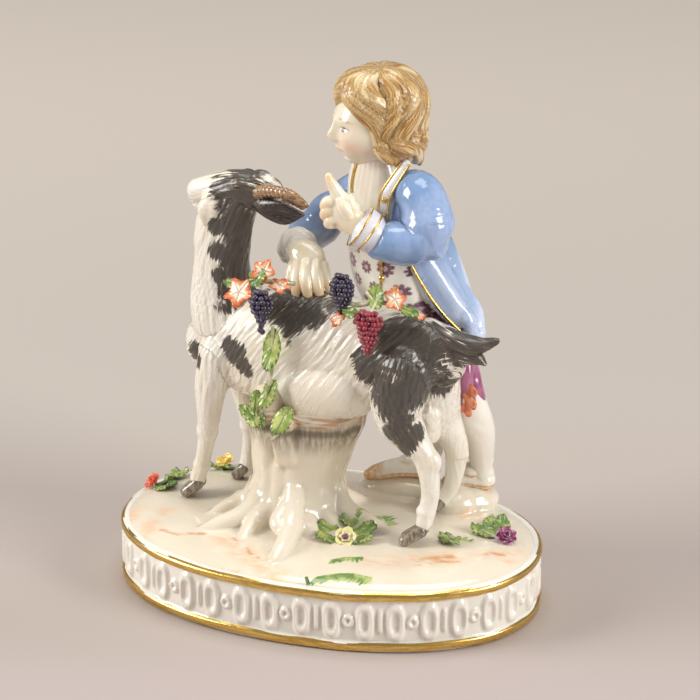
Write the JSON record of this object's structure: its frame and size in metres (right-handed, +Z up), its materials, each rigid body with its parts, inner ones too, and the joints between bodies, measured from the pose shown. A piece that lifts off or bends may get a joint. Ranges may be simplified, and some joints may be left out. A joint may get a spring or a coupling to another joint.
{
  "type": "porcelain figurine of a boy with a goat",
  "caption": "Glazed porcelain group of a boy in a long coat leaning over a garlanded goat that stands across a tree stump, on an oval plinth with a ring frieze and gilt bands",
  "frame": {"origin": "centre of the plinth's flat underside", "axes": "+Z up, +X along the plinth's long axis towards the goat's tail, +Y towards the boy, who stands behind the goat; the goat faces -X"},
  "size_m": [0.1202, 0.0774, 0.1484],
  "materials": {
    "porcelain": "clear glossy glaze over fired white porcelain, with painted enamel colours and gilding"
  },
  "bodies": {
    "root": {"porcelain_figurine": "porcelain"}
  },
  "joints": []
}
